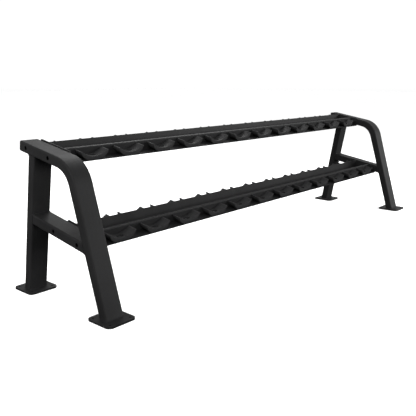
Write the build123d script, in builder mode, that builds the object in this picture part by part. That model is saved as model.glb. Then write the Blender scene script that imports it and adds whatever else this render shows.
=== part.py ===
from build123d import *
from math import cos, radians, sin, tan
import os

# Two-tier dumbbell rack: two welded side frames joined by two sloping tiers of moulded saddles.
# X runs along the rack, +Y to the back, +Z up. The origin is on the floor, in the middle of the feet.

# Overall sizes, mm
RACK_LENGTH = 3050        # over the outer faces of the side frames
FOOT_Y = 302              # front and rear feet, from the middle of the rack
SLOPE = 10                # tiers, top tubes and cross tubes all rise this much to the back, degrees
FRONT_LEAN = 17           # the front legs lean back from vertical, degrees
TOP_LINE_Z = 690          # centreline of the top tubes where it crosses y = 0
CROSS_LINE_Z = 350        # centreline of the cross tubes where it crosses y = 0
TOP_END_Y = 271           # rear end of the top tubes, on the centreline

# Frame tube, rectangular
TUBE_W = 100              # along the rack
TUBE_D = 50               # in the plane of the side frame
TUBE_WALL = 3
TUBE_CORNER_R = 7
BEND_R = 135              # centreline of the bend between front leg and top tube

# Foot plates
FOOT_SIZE = 160
FOOT_T = 10
FOOT_CORNER_R = 24
FOOT_HOLE_R = 6
FOOT_HOLE_SPACING = 116

# End caps of the top tubes
CAP_T = 4
CAP_PLUG_DEPTH = 22
CAP_CLEARANCE = 0.3
CAP_EDGE_R = 2

# Tiers: a flat base plate with an upstanding rail each side of its middle, closed by two end plates
TIER_Y = {"upper": 136, "lower": -50}
BASE_WIDTH = 236
BASE_T = 5
RAIL_OUTER_V = 61         # outer face of the front rail, from the middle of the tier
RAIL_H = 50
RAIL_LIP = 14
RAIL_T = 3
RAIL_BEND_R = 5           # outside of the fold
REAR_RAIL_H = 54
REAR_RAIL_LEAN = 13       # the rear rail leans back from square to the base plate, degrees
REAR_RAIL_GAP = 0.5       # from the rear rail to the tips of the saddles behind it
END_PLATE_WIDTH = 240
END_PLATE_H = 60
END_PLATE_T = 5
END_PLATE_CORNER_R = 8

# Bolts that hold the end plates to the frames, M10 socket heads reached through access holes
FRAME_BOLT_V = 90
FRAME_BOLT_R = 5
FRAME_BOLT_HOLE_R = 5.5
FRAME_BOLT_HEAD_R = 8
FRAME_BOLT_HEAD_H = 10
FRAME_BOLT_SOCKET_AF = 8
FRAME_BOLT_SOCKET_DEPTH = 5
FRAME_BOLT_TAIL = 5       # past the nut
FRAME_NUT_AF = 17
FRAME_NUT_H = 8
ACCESS_HOLE_R = 10

# Saddles: moulded cradles, one under each end of a dumbbell
SADDLES = 12              # stations along each tier
SADDLE_W = 163
SADDLE_DEPTH = 54
SADDLE_H = 42
SADDLE_SEAT_H = 15.5      # lowest point of the cradle above the base plate
SADDLE_BASE_HALF = 38
SADDLE_SHOULDER = (65, 13)
SADDLE_TIP_LAND = 6
SADDLE_TIP_R = 2.4
POCKET_LENGTH = 44
POCKET_WIDTH = 24
POCKET_FLOOR_H = 7.5

# Saddle bolts, M8 button heads sunk in the pockets
SADDLE_BOLT_R = 4
SADDLE_BOLT_HOLE_R = 4.5
SADDLE_BOLT_HEAD_R = 7
SADDLE_BOLT_HEAD_H = 4.4
SADDLE_BOLT_DOME_R = 2.8
SADDLE_BOLT_SOCKET_AF = 5
SADDLE_BOLT_SOCKET_DEPTH = 2.6
SADDLE_BOLT_TAIL = 3
SADDLE_NUT_AF = 13
SADDLE_NUT_H = 6.5
THREAD_GAP = 0.05         # between a nut and its bolt

# Worked out from the sizes above
OUTER_X = RACK_LENGTH / 2
FRAME_X = OUTER_X - TUBE_W / 2
INNER_X = OUTER_X - TUBE_W
SIN = sin(radians(SLOPE))
COS = cos(radians(SLOPE))
TAN = tan(radians(SLOPE))
LEAN_SIN = sin(radians(FRONT_LEAN))
LEAN_COS = cos(radians(FRONT_LEAN))
HEX_AF_TO_R = 1 / (2 * cos(radians(30)))
UP_SLOPE = Axis((0, 0, 0), (0, COS, SIN))
OFF_SLOPE = Axis((0, 0, 0), (0, -SIN, COS))
TIER_Z = {
    "upper": TOP_LINE_Z + TIER_Y["upper"] * TAN,
    "lower": CROSS_LINE_Z + TIER_Y["lower"] * TAN,
}
BASE_TOP = BASE_T - END_PLATE_H / 2
TIER_LENGTH = 2 * (INNER_X - END_PLATE_T)
SADDLE_V = RAIL_OUTER_V + SADDLE_DEPTH / 2
FRONT_RAIL_LINE_V = RAIL_T / 2 - RAIL_OUTER_V
FRONT_RAIL_TOP = BASE_TOP + RAIL_H - RAIL_T / 2
REAR_RAIL_TAN = tan(radians(REAR_RAIL_LEAN))
REAR_RAIL_HALF_T = RAIL_T / 2 / cos(radians(REAR_RAIL_LEAN))
REAR_RAIL_FOOT = BASE_TOP + RAIL_T / 2
REAR_RAIL_TIP_V = RAIL_OUTER_V - REAR_RAIL_GAP - REAR_RAIL_HALF_T
REAR_RAIL_FOOT_V = REAR_RAIL_TIP_V - (SADDLE_H - RAIL_T / 2) * REAR_RAIL_TAN
REAR_RAIL_TOP_V = REAR_RAIL_FOOT_V + (REAR_RAIL_H - RAIL_T / 2) * REAR_RAIL_TAN
SADDLE_GAP = (2 * INNER_X - SADDLES * SADDLE_W) / (SADDLES + 1)
SADDLE_PITCH = SADDLE_W + SADDLE_GAP
SIDES = {"left": -1, "right": 1}

os.makedirs("parts", exist_ok=True)


def save(piece, name):
    """Label a finished sub-part and write it as its own STEP file."""
    piece.part.label = name
    export_step(piece.part, f"parts/{name}.step")


def tier_plane(tier, height=0):
    """Plane of a tier, x along the rack and y up the slope, raised off its middle by height."""
    plane = Plane(origin=(0, TIER_Y[tier], TIER_Z[tier]), x_dir=(1, 0, 0), z_dir=(0, -SIN, COS))
    return plane.offset(height)


def tier_section(tier, x):
    """Cross-section plane of a tier at x, with x up the slope and y square to it."""
    return Plane(origin=(x, TIER_Y[tier], TIER_Z[tier]), x_dir=(0, COS, SIN), z_dir=(1, 0, 0))


def saddle_plane(tier, x, v):
    """Upright plane across the slope at v, x along the rack and y square to the base plate."""
    origin = tier_plane(tier, BASE_TOP).from_local_coords((x, v, 0))
    return Plane(origin=origin, x_dir=(1, 0, 0), z_dir=(0, -COS, -SIN))


def frame_bolt_points(tier):
    """The two frame bolts of a tier, as (y, z)."""
    return [(TIER_Y[tier] + v * COS, TIER_Z[tier] + v * SIN) for v in (-FRAME_BOLT_V, FRAME_BOLT_V)]


def tube_profile(plane):
    """Hollow section of the frame tube."""
    with BuildSketch(plane) as profile:
        RectangleRounded(TUBE_W, TUBE_D, TUBE_CORNER_R)
        inner_size = (TUBE_W - 2 * TUBE_WALL, TUBE_D - 2 * TUBE_WALL)
        RectangleRounded(*inner_size, TUBE_CORNER_R - TUBE_WALL, mode=Mode.SUBTRACT)
    return profile.sketch


def bolt_circles(x, points, radius):
    """Circles about the frame bolts, square to the rack's length."""
    with BuildSketch(Plane.YZ.offset(x)) as circles:
        with Locations(*points):
            Circle(radius)
    return circles.sketch


# ---------------------------------------------------------------- side frames
FOOT_OVERRUN = 30         # legs start this far below the foot plates' tops and are cut level
LEG_TO_CORNER = (TOP_LINE_Z - FOOT_Y * TAN - FOOT_T) / (LEAN_COS - LEAN_SIN * TAN)
REAR_LEG_LENGTH = (TOP_LINE_Z - FOOT_T) * COS + FOOT_Y * SIN - TUBE_D / 2
CROSS_REAR = FOOT_Y * COS + FOOT_T * SIN - TUBE_D / 2 - CROSS_LINE_Z * SIN
CROSS_LENGTH = 500        # before its front end is mitred to the back of the front leg

for side_name, side in SIDES.items():
    frame_x = side * FRAME_X

    # Front leg and top tube: one tube bent back at the top
    with BuildPart() as bent_tube:
        with BuildLine(Plane.YZ.offset(frame_x)) as bend_path:
            FilletPolyline(
                (-FOOT_Y - FOOT_OVERRUN * LEAN_SIN, FOOT_T - FOOT_OVERRUN * LEAN_COS),
                (-FOOT_Y + LEG_TO_CORNER * LEAN_SIN, FOOT_T + LEG_TO_CORNER * LEAN_COS),
                (TOP_END_Y, TOP_LINE_Z + TOP_END_Y * TAN),
                radius=BEND_R,
            )
        leg_end = Plane(origin=bend_path.line @ 0, x_dir=(1, 0, 0), z_dir=bend_path.line % 0)
        sweep(tube_profile(leg_end), path=bend_path.line)
        split(bisect_by=Plane.XY.offset(FOOT_T), keep=Keep.TOP)
        bolt_points = frame_bolt_points("upper")
        extrude(bolt_circles(side * OUTER_X, bolt_points, ACCESS_HOLE_R), amount=-side * TUBE_W / 2,
                mode=Mode.SUBTRACT)
        extrude(bolt_circles(side * INNER_X, bolt_points, FRAME_BOLT_HOLE_R), amount=side * TUBE_W / 2,
                mode=Mode.SUBTRACT)
    save(bent_tube, f"{side_name}_bent_tube")

    # Rear leg, square to the top tube
    with BuildPart() as rear_leg:
        leg_base = Plane(origin=(frame_x, FOOT_Y, FOOT_T), x_dir=(1, 0, 0), z_dir=(0, -SIN, COS))
        extrude(tube_profile(leg_base.offset(-FOOT_OVERRUN)), amount=FOOT_OVERRUN + REAR_LEG_LENGTH)
        split(bisect_by=Plane.XY.offset(FOOT_T), keep=Keep.TOP)
    save(rear_leg, f"{side_name}_rear_leg")

    # Cross tube from the rear leg down to the back of the front leg
    with BuildPart() as cross_tube:
        rear_end = (frame_x, CROSS_REAR * COS, CROSS_LINE_Z + CROSS_REAR * SIN)
        leg_face = Plane(origin=rear_end, x_dir=(1, 0, 0), z_dir=(0, -COS, -SIN))
        extrude(tube_profile(leg_face), amount=CROSS_LENGTH)
        leg_back_y = -FOOT_Y + TUBE_D / 2 / LEAN_COS
        leg_back = Plane(origin=(frame_x, leg_back_y, FOOT_T), z_dir=(0, LEAN_COS, -LEAN_SIN))
        split(bisect_by=leg_back, keep=Keep.TOP)
        bolt_points = frame_bolt_points("lower")
        extrude(bolt_circles(side * OUTER_X, bolt_points, ACCESS_HOLE_R), amount=-side * TUBE_W / 2,
                mode=Mode.SUBTRACT)
        extrude(bolt_circles(side * INNER_X, bolt_points, FRAME_BOLT_HOLE_R), amount=side * TUBE_W / 2,
                mode=Mode.SUBTRACT)
    save(cross_tube, f"{side_name}_cross_tube")

    # Foot plates, drilled for floor anchors
    for end_name, end in {"front": -1, "rear": 1}.items():
        with BuildPart() as foot_plate:
            with BuildSketch(Plane((frame_x, end * FOOT_Y, 0))):
                RectangleRounded(FOOT_SIZE, FOOT_SIZE, FOOT_CORNER_R)
                with GridLocations(FOOT_HOLE_SPACING, FOOT_HOLE_SPACING, 2, 2):
                    Circle(FOOT_HOLE_R, mode=Mode.SUBTRACT)
            extrude(amount=FOOT_T)
        save(foot_plate, f"{side_name}_{end_name}_foot_plate")

    # Cap that closes the rear end of the top tube
    with BuildPart() as end_cap:
        tube_end = Plane(
            origin=(frame_x, TOP_END_Y, TOP_LINE_Z + TOP_END_Y * TAN),
            x_dir=(1, 0, 0),
            z_dir=(0, COS, SIN),
        )
        with BuildSketch(tube_end):
            RectangleRounded(TUBE_W, TUBE_D, TUBE_CORNER_R)
        extrude(amount=CAP_T)
        fillet(end_cap.faces().sort_by(UP_SLOPE)[-1].edges(), CAP_EDGE_R)
        plug_shrink = 2 * (TUBE_WALL + CAP_CLEARANCE)
        with BuildSketch(tube_end):
            RectangleRounded(TUBE_W - plug_shrink, TUBE_D - plug_shrink, TUBE_CORNER_R - TUBE_WALL)
        extrude(amount=-CAP_PLUG_DEPTH)
    save(end_cap, f"{side_name}_end_cap")

    # Socket screws inside the tubes, through the inner wall and the end plate
    with BuildPart() as frame_bolts:
        seat_x = INNER_X + TUBE_WALL
        tail_x = INNER_X - END_PLATE_T - FRAME_NUT_H - FRAME_BOLT_TAIL
        bolt_points = frame_bolt_points("upper") + frame_bolt_points("lower")
        extrude(bolt_circles(side * tail_x, bolt_points, FRAME_BOLT_R), amount=side * (seat_x - tail_x))
        extrude(bolt_circles(side * seat_x, bolt_points, FRAME_BOLT_HEAD_R), amount=side * FRAME_BOLT_HEAD_H)
        with BuildSketch(Plane.YZ.offset(side * (seat_x + FRAME_BOLT_HEAD_H))):
            with Locations(*bolt_points):
                RegularPolygon(FRAME_BOLT_SOCKET_AF * HEX_AF_TO_R, 6)
        extrude(amount=-side * FRAME_BOLT_SOCKET_DEPTH, mode=Mode.SUBTRACT)
    save(frame_bolts, f"{side_name}_frame_bolts")

    # Their nuts, on the inner faces of the end plates
    with BuildPart() as frame_nuts:
        with BuildSketch(Plane.YZ.offset(side * (INNER_X - END_PLATE_T))):
            with Locations(*bolt_points):
                RegularPolygon(FRAME_NUT_AF * HEX_AF_TO_R, 6)
                Circle(FRAME_BOLT_R + THREAD_GAP, mode=Mode.SUBTRACT)
        extrude(amount=-side * FRAME_NUT_H)
    save(frame_nuts, f"{side_name}_frame_nuts")


# ---------------------------------------------------------------- tiers
saddle_xs = [(i - (SADDLES - 1) / 2) * SADDLE_PITCH for i in range(SADDLES)]

for tier in TIER_Y:
    # Base plate that carries the rails and the saddles
    with BuildPart() as base_plate:
        with BuildSketch(tier_plane(tier, BASE_TOP - BASE_T)):
            Rectangle(TIER_LENGTH, BASE_WIDTH)
            with GridLocations(SADDLE_PITCH, 2 * SADDLE_V, SADDLES, 2):
                Circle(SADDLE_BOLT_HOLE_R, mode=Mode.SUBTRACT)
        extrude(amount=BASE_T)
    save(base_plate, f"{tier}_base_plate")

    # Front rail: a folded angle with its lip at the top
    with BuildPart() as front_rail:
        with BuildSketch(tier_section(tier, -TIER_LENGTH / 2)):
            with BuildLine():
                FilletPolyline(
                    (FRONT_RAIL_LINE_V, BASE_TOP),
                    (FRONT_RAIL_LINE_V, FRONT_RAIL_TOP),
                    (FRONT_RAIL_LINE_V + RAIL_LIP, FRONT_RAIL_TOP),
                    radius=RAIL_BEND_R - RAIL_T / 2,
                )
            trace(line_width=RAIL_T)
        extrude(amount=TIER_LENGTH)
    save(front_rail, f"{tier}_front_rail")

    # Rear rail: a folded angle that leans back over the lip it stands on
    with BuildPart() as rear_rail:
        with BuildSketch(tier_section(tier, -TIER_LENGTH / 2)):
            with BuildLine():
                FilletPolyline(
                    (REAR_RAIL_TOP_V, BASE_TOP + REAR_RAIL_H),
                    (REAR_RAIL_FOOT_V, REAR_RAIL_FOOT),
                    (REAR_RAIL_FOOT_V - RAIL_LIP, REAR_RAIL_FOOT),
                    radius=RAIL_BEND_R - RAIL_T / 2,
                )
            trace(line_width=RAIL_T)
        extrude(amount=TIER_LENGTH)
    save(rear_rail, f"{tier}_rear_rail")

    # End plates, bolted to the inner faces of the side frames
    for side_name, side in SIDES.items():
        with BuildPart() as end_plate:
            with BuildSketch(tier_section(tier, side * INNER_X)):
                RectangleRounded(END_PLATE_WIDTH, END_PLATE_H, END_PLATE_CORNER_R)
                with Locations((-FRAME_BOLT_V, 0), (FRAME_BOLT_V, 0)):
                    Circle(FRAME_BOLT_HOLE_R, mode=Mode.SUBTRACT)
            extrude(amount=-side * END_PLATE_T)
        save(end_plate, f"{tier}_{side_name}_end_plate")

    # Saddles: at each station a front and a rear cradle, each on the outer side of its rail
    for station, x in enumerate(saddle_xs, start=1):
        with BuildPart() as saddles:
            for front_v in (-RAIL_OUTER_V, RAIL_OUTER_V + SADDLE_DEPTH):
                with BuildSketch(saddle_plane(tier, x, front_v)) as cradle:
                    with BuildLine():
                        Line((0, 0), (SADDLE_BASE_HALF, 0))
                        ThreePointArc((SADDLE_BASE_HALF, 0), SADDLE_SHOULDER, (SADDLE_W / 2, SADDLE_H))
                        seat_edge = (SADDLE_W / 2 - SADDLE_TIP_LAND, SADDLE_H)
                        Line((SADDLE_W / 2, SADDLE_H), seat_edge)
                        ThreePointArc(seat_edge, (0, SADDLE_SEAT_H), (-seat_edge[0], SADDLE_H))
                        Line((-seat_edge[0], SADDLE_H), (-SADDLE_W / 2, SADDLE_H))
                        shoulder = (-SADDLE_SHOULDER[0], SADDLE_SHOULDER[1])
                        ThreePointArc((-SADDLE_W / 2, SADDLE_H), shoulder, (-SADDLE_BASE_HALF, 0))
                        Line((-SADDLE_BASE_HALF, 0), (0, 0))
                    make_face()
                    fillet(cradle.vertices().group_by(Axis.Y)[-1], SADDLE_TIP_R)
                extrude(amount=SADDLE_DEPTH)
            with BuildSketch(tier_plane(tier, BASE_TOP + POCKET_FLOOR_H)):
                with Locations((x, -SADDLE_V), (x, SADDLE_V)):
                    SlotOverall(POCKET_LENGTH, POCKET_WIDTH)
            extrude(amount=SADDLE_H, mode=Mode.SUBTRACT)
            with BuildSketch(tier_plane(tier, BASE_TOP)):
                with Locations((x, -SADDLE_V), (x, SADDLE_V)):
                    Circle(SADDLE_BOLT_HOLE_R)
            extrude(amount=SADDLE_H, mode=Mode.SUBTRACT)
        save(saddles, f"{tier}_saddles_{station:02d}")

    # Button-head bolts down through the saddles and the base plate
    nut_top = BASE_TOP - BASE_T
    for row_name, v in {"front": -SADDLE_V, "rear": SADDLE_V}.items():
        bolt_spots = [(x, v) for x in saddle_xs]
        with BuildPart() as saddle_bolts:
            head_seat = BASE_TOP + POCKET_FLOOR_H
            with BuildSketch(tier_plane(tier, head_seat)):
                with Locations(*bolt_spots):
                    Circle(SADDLE_BOLT_HEAD_R)
            extrude(amount=SADDLE_BOLT_HEAD_H)
            head_rims = saddle_bolts.faces().filter_by(OFF_SLOPE).group_by(OFF_SLOPE)[-1]
            fillet(head_rims.edges(), SADDLE_BOLT_DOME_R)
            with BuildSketch(tier_plane(tier, head_seat + SADDLE_BOLT_HEAD_H)):
                with Locations(*bolt_spots):
                    RegularPolygon(SADDLE_BOLT_SOCKET_AF * HEX_AF_TO_R, 6)
            extrude(amount=-SADDLE_BOLT_SOCKET_DEPTH, mode=Mode.SUBTRACT)
            with BuildSketch(tier_plane(tier, head_seat)):
                with Locations(*bolt_spots):
                    Circle(SADDLE_BOLT_R)
            extrude(amount=nut_top - SADDLE_NUT_H - SADDLE_BOLT_TAIL - head_seat)
        save(saddle_bolts, f"{tier}_{row_name}_saddle_bolts")

    # Nuts under the base plate
    with BuildPart() as saddle_nuts:
        with BuildSketch(tier_plane(tier, nut_top)):
            with GridLocations(SADDLE_PITCH, 2 * SADDLE_V, SADDLES, 2):
                RegularPolygon(SADDLE_NUT_AF * HEX_AF_TO_R, 6)
                Circle(SADDLE_BOLT_R + THREAD_GAP, mode=Mode.SUBTRACT)
        extrude(amount=-SADDLE_NUT_H)
    save(saddle_nuts, f"{tier}_saddle_nuts")
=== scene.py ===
import math

import bmesh
import bpy
from mathutils import Matrix, Vector


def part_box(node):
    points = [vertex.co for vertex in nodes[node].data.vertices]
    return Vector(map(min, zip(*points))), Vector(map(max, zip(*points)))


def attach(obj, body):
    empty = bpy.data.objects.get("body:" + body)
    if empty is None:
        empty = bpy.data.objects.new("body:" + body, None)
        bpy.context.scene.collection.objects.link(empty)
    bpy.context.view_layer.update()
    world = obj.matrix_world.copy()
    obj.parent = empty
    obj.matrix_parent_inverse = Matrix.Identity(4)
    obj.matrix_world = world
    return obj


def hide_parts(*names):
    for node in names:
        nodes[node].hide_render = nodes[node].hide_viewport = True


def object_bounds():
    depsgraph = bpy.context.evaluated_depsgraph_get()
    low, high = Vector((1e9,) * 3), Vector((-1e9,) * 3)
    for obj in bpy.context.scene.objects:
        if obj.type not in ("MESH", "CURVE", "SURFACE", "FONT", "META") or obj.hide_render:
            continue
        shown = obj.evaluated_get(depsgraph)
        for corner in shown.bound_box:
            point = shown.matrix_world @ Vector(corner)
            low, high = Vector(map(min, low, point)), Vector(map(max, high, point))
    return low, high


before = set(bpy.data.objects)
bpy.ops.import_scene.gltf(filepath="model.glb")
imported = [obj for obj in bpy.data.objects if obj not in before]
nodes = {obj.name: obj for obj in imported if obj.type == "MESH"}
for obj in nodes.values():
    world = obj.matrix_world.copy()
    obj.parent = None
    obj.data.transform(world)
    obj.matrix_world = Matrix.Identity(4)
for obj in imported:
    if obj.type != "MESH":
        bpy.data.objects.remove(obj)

# Two-tier dumbbell rack. Metres, X along the rack, +Y to the back, +Z up, floor at z = 0.
# The CAD's shapes stay, except that moulded saddles replace its plain ones and welds are added.
cad_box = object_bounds()
scene = bpy.context.scene
SIDE_NAMES = ("left", "right")
TIERS = ("upper", "lower")


def centre(node):
    """Middle of a CAD node's box."""
    low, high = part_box(node)
    return (low + high) / 2


# ---------------------------------------------------------------- sizes
# Side frames
SLOPE = math.radians(10)          # tiers, top tubes and cross tubes rise to the back
LEAN = math.radians(17)           # front legs lean back
TUBE_W = 0.100
TUBE_D = 0.050
HALF_TUBE = TUBE_D / 2
TUBE_CORNER_R = 0.007
FOOT_Y = centre("left_rear_foot_plate").y
FOOT_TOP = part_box("left_rear_foot_plate")[1].z

# Tiers, in their own axes: v up the slope from the tier's middle, height square to it
BASE_TOP = -0.025                 # top of the base plate
RAIL_V = 0.061                    # where the saddles begin, each side of the middle

# Saddles
SADDLE_W = 0.163
SADDLE_DEPTH = 0.054
SADDLE_H = 0.042
SADDLE_V = RAIL_V + SADDLE_DEPTH / 2
SEAT_H = 0.0155                   # lowest point of the seat
BASE_HALF = 0.038                 # half of the flat underside
SHOULDER = (0.065, 0.013)         # a point that the underside's arc goes through
TIP_LAND = 0.006                  # from a tip's outer side to the seat
TIP_R = 0.0010
TIP_CUT = 0.3 * TIP_R             # from the square corner to the middle of its round, in x and height
SIDE_STEPS = 14
TIP_STEPS = 4
SEAT_STEPS = 48
POCKET_LENGTH = 0.044
POCKET_WIDTH = 0.024
POCKET_FLOOR_H = 0.0075
POCKET_END_STEPS = 16
BOLT_HOLE_R = 0.0045
BOLT_HOLE_SIDES = 32
SADDLE_EDGE_R = 0.0008
SADDLE_EDGE_STEPS = 3
EDGE_ANGLE = math.radians(40)     # sharper edges than this are softened
SMOOTH_ANGLE = math.radians(32)   # sharper edges than this are shaded sharp

# Welds
WELD_R = 0.0030
WELD_PITCH = 0.0045               # from one ripple of the bead to the next
WELD_SIDES = 8
WELD_DIP = 0.14                   # half of the ripples' height, as a share of the radius
WELD_UNEVEN = 0.05                # how much the ripples differ, as a share of the radius
WELD_UNEVEN_RATE = 1.7            # radians that this difference turns through from ring to ring
CORNER_STEPS = 12                 # round each corner of a tube, before the points are evened out


# ---------------------------------------------------------------- materials
# Texture scales, in features per metre
PAINT_MOTTLE_SCALE = 7.0
PAINT_GRAIN_SCALE = 900.0
PAINT_PEEL_SCALE = PAINT_GRAIN_SCALE / 3.5
PLASTIC_FLOW_SCALE = 28.0
PLASTIC_GRAIN_SCALE = 1100.0
OXIDE_PATCH_SCALE = 160.0
OXIDE_MARK_SCALE = 2400.0
FLOOR_CLOUD_SCALE = 0.6


def new_material(name):
    """A material with nodes, and its tree, its shader and a texture coordinate node."""
    material = bpy.data.materials.new(name)
    material.use_nodes = True
    tree = material.node_tree
    shader = tree.nodes["Principled BSDF"]
    coords = tree.nodes.new("ShaderNodeTexCoord")
    return material, tree, shader, coords


def noise(tree, coords, scale, detail):
    """Noise over the object's own coordinates."""
    node = tree.nodes.new("ShaderNodeTexNoise")
    node.inputs["Scale"].default_value = scale
    node.inputs["Detail"].default_value = detail
    node.inputs["Roughness"].default_value = 0.55
    tree.links.new(coords.outputs["Object"], node.inputs["Vector"])
    return node


def ramp(tree, source, low, high, low_at=0.35, high_at=0.65):
    """Colour ramp between two colours, driven by source."""
    node = tree.nodes.new("ShaderNodeValToRGB")
    node.color_ramp.elements[0].position = low_at
    node.color_ramp.elements[0].color = (*low, 1.0)
    node.color_ramp.elements[1].position = high_at
    node.color_ramp.elements[1].color = (*high, 1.0)
    tree.links.new(source, node.inputs["Fac"])
    return node


def tint(tree, source, colour, darkest, lightest):
    """Colour ramp between a darker and a lighter shade of one colour."""
    low = [channel * darkest for channel in colour]
    high = [channel * lightest for channel in colour]
    return ramp(tree, source, low, high)


def vary(tree, source, middle, reach):
    """A number that a noise, mostly from 0.3 to 0.7, moves by reach each way from middle."""
    node = tree.nodes.new("ShaderNodeMapRange")
    node.inputs["From Min"].default_value = 0.3
    node.inputs["From Max"].default_value = 0.7
    node.inputs["To Min"].default_value = middle - reach
    node.inputs["To Max"].default_value = middle + reach
    tree.links.new(source, node.inputs["Value"])
    return node


def bump(tree, height, distance, strength, under=None):
    """Bump of a height field, on top of another bump if one is given."""
    node = tree.nodes.new("ShaderNodeBump")
    node.inputs["Distance"].default_value = distance
    node.inputs["Strength"].default_value = strength
    tree.links.new(height, node.inputs["Height"])
    if under is not None:
        tree.links.new(under.outputs["Normal"], node.inputs["Normal"])
    return node


def powder_coat(name, colour, roughness, specular):
    """Matt powder coat: a fine orange-peel grain, a slow mottling and uneven sheen."""
    material, tree, shader, coords = new_material(name)
    mottle = noise(tree, coords, PAINT_MOTTLE_SCALE, detail=4.0)
    grain = noise(tree, coords, PAINT_GRAIN_SCALE, detail=2.0)
    peel = noise(tree, coords, PAINT_PEEL_SCALE, detail=2.0)
    shade = tint(tree, mottle.outputs["Fac"], colour, darkest=0.86, lightest=1.14)
    speckle = ramp(tree, grain.outputs["Fac"], (0.82, 0.82, 0.82), (1.18, 1.18, 1.18), 0.4, 0.6)
    mix = tree.nodes.new("ShaderNodeMix")
    mix.data_type = "RGBA"
    mix.blend_type = "MULTIPLY"
    mix.inputs["Factor"].default_value = 1.0
    tree.links.new(shade.outputs["Color"], mix.inputs["A"])
    tree.links.new(speckle.outputs["Color"], mix.inputs["B"])
    tree.links.new(mix.outputs["Result"], shader.inputs["Base Color"])
    sheen = vary(tree, mottle.outputs["Fac"], roughness, reach=0.04)
    tree.links.new(sheen.outputs["Result"], shader.inputs["Roughness"])
    shader.inputs["Specular IOR Level"].default_value = specular
    peel_bump = bump(tree, peel.outputs["Fac"], distance=0.0004, strength=0.35)
    grain_bump = bump(tree, grain.outputs["Fac"], distance=0.0002, strength=0.45, under=peel_bump)
    tree.links.new(grain_bump.outputs["Normal"], shader.inputs["Normal"])
    return material


def moulded_plastic(name, colour, roughness, specular):
    """Moulded plastic: spark-eroded grain, faint flow marks and slightly polished patches."""
    material, tree, shader, coords = new_material(name)
    flow = noise(tree, coords, PLASTIC_FLOW_SCALE, detail=3.0)
    cells = tree.nodes.new("ShaderNodeTexVoronoi")
    cells.inputs["Scale"].default_value = PLASTIC_GRAIN_SCALE
    tree.links.new(coords.outputs["Object"], cells.inputs["Vector"])
    shade = tint(tree, flow.outputs["Fac"], colour, darkest=0.88, lightest=1.12)
    tree.links.new(shade.outputs["Color"], shader.inputs["Base Color"])
    polish = vary(tree, flow.outputs["Fac"], roughness, reach=0.05)
    tree.links.new(polish.outputs["Result"], shader.inputs["Roughness"])
    shader.inputs["Specular IOR Level"].default_value = specular
    grain = bump(tree, cells.outputs["Distance"], distance=0.0002, strength=0.35)
    tree.links.new(grain.outputs["Normal"], shader.inputs["Normal"])
    return material


def black_oxide(name, colour, roughness):
    """Blackened steel: dark metal with fine turning marks and uneven oxide."""
    material, tree, shader, coords = new_material(name)
    patches = noise(tree, coords, OXIDE_PATCH_SCALE, detail=4.0)
    marks = noise(tree, coords, OXIDE_MARK_SCALE, detail=1.0)
    shade = tint(tree, patches.outputs["Fac"], colour, darkest=0.7, lightest=1.4)
    tree.links.new(shade.outputs["Color"], shader.inputs["Base Color"])
    worn = vary(tree, patches.outputs["Fac"], roughness, reach=0.08)
    tree.links.new(worn.outputs["Result"], shader.inputs["Roughness"])
    shader.inputs["Metallic"].default_value = 0.85
    turned = bump(tree, marks.outputs["Fac"], distance=0.0001, strength=0.3)
    tree.links.new(turned.outputs["Normal"], shader.inputs["Normal"])
    return material


def pale_floor(name):
    """Plain off-white studio floor with the least variation."""
    material, tree, shader, coords = new_material(name)
    cloud = noise(tree, coords, FLOOR_CLOUD_SCALE, detail=2.0)
    shade = ramp(tree, cloud.outputs["Fac"], (0.93, 0.93, 0.93), (0.95, 0.95, 0.95))
    tree.links.new(shade.outputs["Color"], shader.inputs["Base Color"])
    shader.inputs["Roughness"].default_value = 0.9
    shader.inputs["Specular IOR Level"].default_value = 0.0
    return material


# Linear colours, all near black. The tiers' black is a slightly lighter copy of the frame's black, a
# painted lift that stands in for light on the tiers.
FRAME_COLOUR = (0.0080, 0.0080, 0.0082)
# Painted light: the same powder coat as the frame, made lighter so the tiers' webs look more brightly lit
TIER_COLOUR = (0.0090, 0.0090, 0.0092)
SADDLE_COLOUR = (0.0145, 0.0145, 0.0148)
CAP_COLOUR = (0.0106, 0.0106, 0.0108)
OXIDE_COLOUR = (0.03, 0.03, 0.0315)

FRAME_PAINT = powder_coat("frame_powder_coat", FRAME_COLOUR, roughness=0.50, specular=0.040)
# Painted light: a lighter copy of the frame's powder coat
TIER_PAINT = powder_coat("tier_powder_coat", TIER_COLOUR, roughness=0.50, specular=0.036)
SADDLE_PLASTIC = moulded_plastic("saddle_plastic", SADDLE_COLOUR, roughness=0.55, specular=0.025)
CAP_PLASTIC = moulded_plastic("cap_plastic", CAP_COLOUR, roughness=0.55, specular=0.036)
FASTENER = black_oxide("black_oxide_steel", OXIDE_COLOUR, roughness=0.42)
FLOOR_PAINT = pale_floor("floor_paint")


def dress(obj, material):
    """Puts one material in every slot of an object."""
    if not obj.data.materials:
        obj.data.materials.append(material)
    for index in range(len(obj.data.materials)):
        obj.data.materials[index] = material


def cad_material(name):
    """The finish of a CAD node, by what it is."""
    if name.endswith("end_cap"):
        return CAP_PLASTIC
    if name.endswith(("bolts", "nuts")):
        return FASTENER
    if "saddles" in name:
        return SADDLE_PLASTIC
    if name.startswith(TIERS):
        return TIER_PAINT
    return FRAME_PAINT


for node_name, node_object in nodes.items():
    dress(node_object, cad_material(node_name))


# ---------------------------------------------------------------- building helpers
def mesh_from(bm, name):
    """Turns a bmesh into a mesh, and frees it."""
    mesh = bpy.data.meshes.new(name)
    bm.to_mesh(mesh)
    bm.free()
    return mesh


def linked_object(name, data):
    """A new object in the scene."""
    obj = bpy.data.objects.new(name, data)
    scene.collection.objects.link(obj)
    return obj


def shade_smooth(mesh):
    """Shades every face of a mesh smooth."""
    for polygon in mesh.polygons:
        polygon.use_smooth = True


def add_piece(name, mesh, material):
    """Links a mesh as a piece that rides on the rack."""
    piece = linked_object(name, mesh)
    dress(piece, material)
    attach(piece, "root")
    return piece


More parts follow.
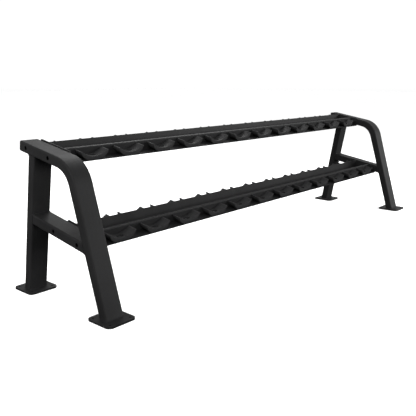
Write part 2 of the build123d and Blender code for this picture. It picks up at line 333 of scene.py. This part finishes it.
def tier_matrix(tier):
    """From a tier's own axes (x along the rack, y up the slope, z square to it) to the rack's."""
    turn = Matrix.Rotation(SLOPE, 4, "X")
    middle = centre(f"{tier}_left_end_plate")
    return Matrix.Translation((0, middle.y, middle.z)) @ turn


def arc_points(start, middle, end, count):
    """Points along the circular arc from start through middle to end, both ends included."""
    ax, ay = start
    bx, by = middle
    cx, cy = end
    d = 2 * (ax * (by - cy) + bx * (cy - ay) + cx * (ay - by))
    a2, b2, c2 = ax * ax + ay * ay, bx * bx + by * by, cx * cx + cy * cy
    ux = (a2 * (by - cy) + b2 * (cy - ay) + c2 * (ay - by)) / d
    uy = (a2 * (cx - bx) + b2 * (ax - cx) + c2 * (bx - ax)) / d
    radius = math.hypot(ax - ux, ay - uy)
    first = math.atan2(ay - uy, ax - ux)
    via = (math.atan2(by - uy, bx - ux) - first) % math.tau
    sweep = (math.atan2(cy - uy, cx - ux) - first) % math.tau
    if via > sweep:
        sweep -= math.tau
    angles = [first + sweep * i / count for i in range(count + 1)]
    return [(ux + radius * math.cos(a), uy + radius * math.sin(a)) for a in angles]


def drawn_out(name, corners, offset):
    """A temporary object: a flat face through corners, drawn out by offset."""
    bm = bmesh.new()
    face = bm.faces.new([bm.verts.new(corner) for corner in corners])
    drawn = bmesh.ops.extrude_face_region(bm, geom=[face])
    moved = [v for v in drawn["geom"] if isinstance(v, bmesh.types.BMVert)]
    bmesh.ops.translate(bm, verts=moved, vec=offset)
    bmesh.ops.recalc_face_normals(bm, faces=bm.faces)
    return linked_object(name, mesh_from(bm, name))


def evaluated_mesh(obj, name):
    """The object's mesh with its modifiers applied, kept as new mesh data."""
    depsgraph = bpy.context.evaluated_depsgraph_get()
    depsgraph.update()
    mesh = bpy.data.meshes.new_from_object(obj.evaluated_get(depsgraph))
    mesh.name = name
    return mesh


# ---------------------------------------------------------------- saddles
def saddle_outline():
    """Outline of a cradle seen from the front, as (x, height) from the middle of its base."""
    half = SADDLE_W / 2
    tip_start = (half, SADDLE_H - TIP_R)
    tip_middle = (half - TIP_CUT, SADDLE_H - TIP_CUT)
    tip_end = (half - TIP_R, SADDLE_H)
    side = arc_points((BASE_HALF, 0), SHOULDER, tip_start, SIDE_STEPS)
    tip = arc_points(tip_start, tip_middle, tip_end, TIP_STEPS)
    seat_edge = (half - TIP_LAND, SADDLE_H)
    seat = arc_points(seat_edge, (0, SEAT_H), (-seat_edge[0], SADDLE_H), SEAT_STEPS)
    right = side + tip[1:]
    left = [(-x, height) for x, height in reversed(right)]
    return right + seat + left


def pocket_outline():
    """Outline of the slotted pocket seen from above."""
    straight = (POCKET_LENGTH - POCKET_WIDTH) / 2
    end_r = POCKET_WIDTH / 2
    turns = [math.pi * i / POCKET_END_STEPS for i in range(POCKET_END_STEPS + 1)]
    right = [(straight + end_r * math.sin(a), -end_r * math.cos(a)) for a in turns]
    left = [(-x, -y) for x, y in right]
    return right + left


def saddle_mesh():
    """One moulded cradle with softened edges and a slotted pocket round its bolt, depth along y."""
    profile = [(x, -SADDLE_DEPTH / 2, height) for x, height in saddle_outline()]
    body = drawn_out("saddle_body", profile, (0, SADDLE_DEPTH, 0))
    edges = body.modifiers.new("edges", "BEVEL")
    edges.width = SADDLE_EDGE_R
    edges.segments = SADDLE_EDGE_STEPS
    edges.limit_method = "ANGLE"
    edges.angle_limit = EDGE_ANGLE
    floor_ring = [(x, y, POCKET_FLOOR_H) for x, y in pocket_outline()]
    pocket = drawn_out("pocket_cutter", floor_ring, (0, 0, SADDLE_H))
    bm = bmesh.new()
    bmesh.ops.create_cone(
        bm,
        cap_ends=True,
        segments=BOLT_HOLE_SIDES,
        radius1=BOLT_HOLE_R,
        radius2=BOLT_HOLE_R,
        depth=2 * SADDLE_H,
    )
    hole = linked_object("hole_cutter", mesh_from(bm, "hole_cutter"))
    for tool in (pocket, hole):
        cut = body.modifiers.new(tool.name, "BOOLEAN")
        cut.operation = "DIFFERENCE"
        cut.solver = "EXACT"
        cut.object = tool
    made = evaluated_mesh(body, "saddle")
    for leftover in (body, pocket, hole):
        bpy.data.objects.remove(leftover)
    return made


def pair_mesh(single):
    """A station's front and rear cradles in one mesh, in the tier's own axes."""
    bm = bmesh.new()
    for v in (-SADDLE_V, SADDLE_V):
        start = len(bm.verts)
        bm.from_mesh(single)
        bm.verts.ensure_lookup_table()
        bmesh.ops.translate(bm, verts=bm.verts[start:], vec=(0, v, BASE_TOP))
    mesh = mesh_from(bm, "saddle_pair")
    shade_smooth(mesh)
    mesh.set_sharp_from_angle(angle=SMOOTH_ANGLE)
    return mesh


pair = pair_mesh(saddle_mesh())
for tier in TIERS:
    place = tier_matrix(tier)
    for node_name in sorted(n for n in nodes if n.startswith(f"{tier}_saddles_")):
        saddles = add_piece(f"{node_name}_moulded", pair, SADDLE_PLASTIC)
        saddles.matrix_world = place @ Matrix.Translation((centre(node_name).x, 0, 0))
        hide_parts(node_name)


# ---------------------------------------------------------------- welds
def even_points(line, spacing):
    """Points at an even spacing along a polyline, both ends included."""
    lengths = [(b - a).length for a, b in zip(line, line[1:])]
    total = sum(lengths)
    count = max(2, round(total / spacing))
    points, index, walked = [], 0, 0.0
    for step in range(count + 1):
        target = min(total * step / count, total - 1e-9)
        while walked + lengths[index] < target:
            walked += lengths[index]
            index += 1
        share = (target - walked) / lengths[index]
        points.append(line[index].lerp(line[index + 1], share))
    return points


def tube_loop(depth, spacing):
    """Evenly spaced points round a frame tube of this depth, flat about the origin."""
    x = TUBE_W / 2 - TUBE_CORNER_R
    y = depth / 2 - TUBE_CORNER_R
    corners = [(x, y, 0), (-x, y, 90), (-x, -y, 180), (x, -y, 270)]
    dense = []
    for corner_x, corner_y, start in corners:
        for step in range(CORNER_STEPS + 1):
            a = math.radians(start + 90 * step / CORNER_STEPS)
            point = (corner_x + TUBE_CORNER_R * math.cos(a), corner_y + TUBE_CORNER_R * math.sin(a), 0)
            dense.append(Vector(point))
    dense.append(dense[0].copy())
    return even_points(dense, spacing)[:-1]


def bead_mesh(name, points):
    """A rippled weld bead round a closed loop of points, an even number of them."""
    bm = bmesh.new()
    turns = [math.tau * k / WELD_SIDES for k in range(WELD_SIDES)]
    rings = []
    count = len(points)
    side = None
    for i, point in enumerate(points):
        along = (points[(i + 1) % count] - points[i - 1]).normalized()
        if side is None:
            side = along.orthogonal().normalized()
        side = (side - along * side.dot(along)).normalized()
        up = along.cross(side)
        radius = WELD_R * (1 - WELD_DIP + WELD_DIP * math.cos(math.pi * i))
        radius *= 1 + WELD_UNEVEN * math.sin(i * WELD_UNEVEN_RATE)
        spokes = [math.cos(a) * side + math.sin(a) * up for a in turns]
        rings.append([bm.verts.new(point + radius * spoke) for spoke in spokes])
    # The last ring joins the first at the turn that brings their corners together
    first, last = rings[0], rings[-1]
    offset = min(range(WELD_SIDES), key=lambda k: (last[0].co - first[k].co).length)
    rings.append(first[offset:] + first[:offset])
    for one, two in zip(rings, rings[1:]):
        for k in range(WELD_SIDES):
            j = (k + 1) % WELD_SIDES
            bm.faces.new((one[k], one[j], two[j], two[k]))
    bmesh.ops.recalc_face_normals(bm, faces=bm.faces)
    mesh = mesh_from(bm, name)
    shade_smooth(mesh)
    return mesh


def weld_round(name, origin, tilt, depth):
    """Bead round the end of a frame tube: tilt turns its plane about X from level."""
    spacing = WELD_PITCH / 2
    loop = tube_loop(depth, spacing)
    if len(loop) % 2:
        loop = tube_loop(depth, spacing * (1 + 1 / len(loop)))
    turn = Matrix.Translation(origin) @ Matrix.Rotation(tilt, 4, "X")
    return add_piece(name, bead_mesh(name, [turn @ p for p in loop]), FRAME_PAINT)


for side_name in SIDE_NAMES:
    x = centre(f"{side_name}_front_foot_plate").x
    leg_low, leg_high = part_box(f"{side_name}_rear_leg")
    cross_low, cross_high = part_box(f"{side_name}_cross_tube")
    weld_round(f"{side_name}_front_foot_weld", (x, -FOOT_Y, FOOT_TOP), 0, TUBE_D / math.cos(LEAN))
    weld_round(f"{side_name}_rear_foot_weld", (x, FOOT_Y, FOOT_TOP), 0, TUBE_D / math.cos(SLOPE))
    leg_top = (x, leg_low.y + HALF_TUBE * math.cos(SLOPE), leg_high.z - HALF_TUBE * math.sin(SLOPE))
    weld_round(f"{side_name}_leg_top_weld", leg_top, SLOPE, TUBE_D)
    rear = (x, cross_high.y - HALF_TUBE * math.sin(SLOPE), cross_high.z - HALF_TUBE * math.cos(SLOPE))
    weld_round(f"{side_name}_cross_rear_weld", rear, SLOPE + math.pi / 2, TUBE_D)
    mitre = TUBE_D / math.cos(LEAN + SLOPE)
    front = (x, cross_low.y + mitre / 2 * math.sin(LEAN), cross_low.z + mitre / 2 * math.cos(LEAN))
    weld_round(f"{side_name}_cross_front_weld", front, math.pi / 2 - LEAN, mitre)


# ---------------------------------------------------------------- floor, light and camera
FLOOR_HALF = 40.0                 # half of the floor's side
HORIZON_FADE = 0.25               # how far below level the surroundings dim, as a slope
RACK_MIDDLE = (0.0, 0.0, 0.4)
LEFT_OF_MIDDLE = (-0.5, 0.0, 0.4)
CAMERA_PLACE = (-2.974, -2.185, 1.053)
CAMERA_YAW = math.radians(48.85)      # from +Y towards +X
CAMERA_PITCH = math.radians(12.99)    # below level
CAMERA_LENS = 49.3                    # mm, on a sensor 36 mm wide
CAMERA_SHIFT = (-0.0010, 0.0026)


def stage_floor():
    """A plain floor, far larger than the rack, that throws no light back up at it."""
    bm = bmesh.new()
    bmesh.ops.create_grid(bm, x_segments=4, y_segments=4, size=FLOOR_HALF)
    floor = linked_object("floor", mesh_from(bm, "floor"))
    floor.location.z = cad_box[0][2]
    floor.visible_diffuse = False
    floor.visible_glossy = False
    dress(floor, FLOOR_PAINT)


def studio_world(above, below):
    """White surroundings, of one strength above level and another well below it."""
    world = bpy.data.worlds.new("studio")
    world.use_nodes = True
    tree = world.node_tree
    background = tree.nodes["Background"]
    background.inputs["Color"].default_value = (1.0, 1.0, 1.0, 1.0)
    coords = tree.nodes.new("ShaderNodeTexCoord")
    split = tree.nodes.new("ShaderNodeSeparateXYZ")
    tree.links.new(coords.outputs["Generated"], split.inputs["Vector"])
    fade = tree.nodes.new("ShaderNodeMapRange")
    fade.inputs["From Min"].default_value = -HORIZON_FADE
    fade.inputs["From Max"].default_value = 0.0
    fade.inputs["To Min"].default_value = below
    fade.inputs["To Max"].default_value = above
    tree.links.new(split.outputs["Z"], fade.inputs["Value"])
    tree.links.new(fade.outputs["Result"], background.inputs["Strength"])
    scene.world = world


def area_light(name, place, size, watts, target=RACK_MIDDLE):
    """A soft rectangular light at place, aimed at target."""
    light = bpy.data.lights.new(name, "AREA")
    light.shape = "RECTANGLE"
    light.size, light.size_y = size
    light.energy = watts
    lamp = linked_object(name, light)
    lamp.location = place
    lamp.rotation_euler = (Vector(target) - Vector(place)).to_track_quat("-Z", "Y").to_euler()


def aim_camera():
    """The scene's camera, in front of the rack's left end."""
    data = bpy.data.cameras.new("camera")
    data.sensor_width = 36.0
    data.lens = CAMERA_LENS
    data.shift_x, data.shift_y = CAMERA_SHIFT
    data.clip_end = 200.0
    camera = linked_object("camera", data)
    camera.location = CAMERA_PLACE
    camera.rotation_euler = (math.pi / 2 - CAMERA_PITCH, 0, -CAMERA_YAW)
    scene.camera = camera


stage_floor()
studio_world(above=1.07, below=0.05)
area_light("top_light", place=(0.0, 0.3, 4.0), size=(5.0, 3.0), watts=8)
area_light("back_right_light", place=(2.2, 2.4, 4.0), size=(3.0, 2.0), watts=180)
area_light("front_right_light", place=(4.0, -4.0, 1.5), size=(2.5, 1.5), watts=475)
area_light("front_left_light", place=(-3.0, -4.5, 2.2), size=(3.0, 1.5), watts=200, target=LEFT_OF_MIDDLE)
area_light("left_light", place=(-5.0, 0.3, 2.0), size=(2.5, 2.0), watts=195)
aim_camera()
scene.view_settings.view_transform = "Standard"
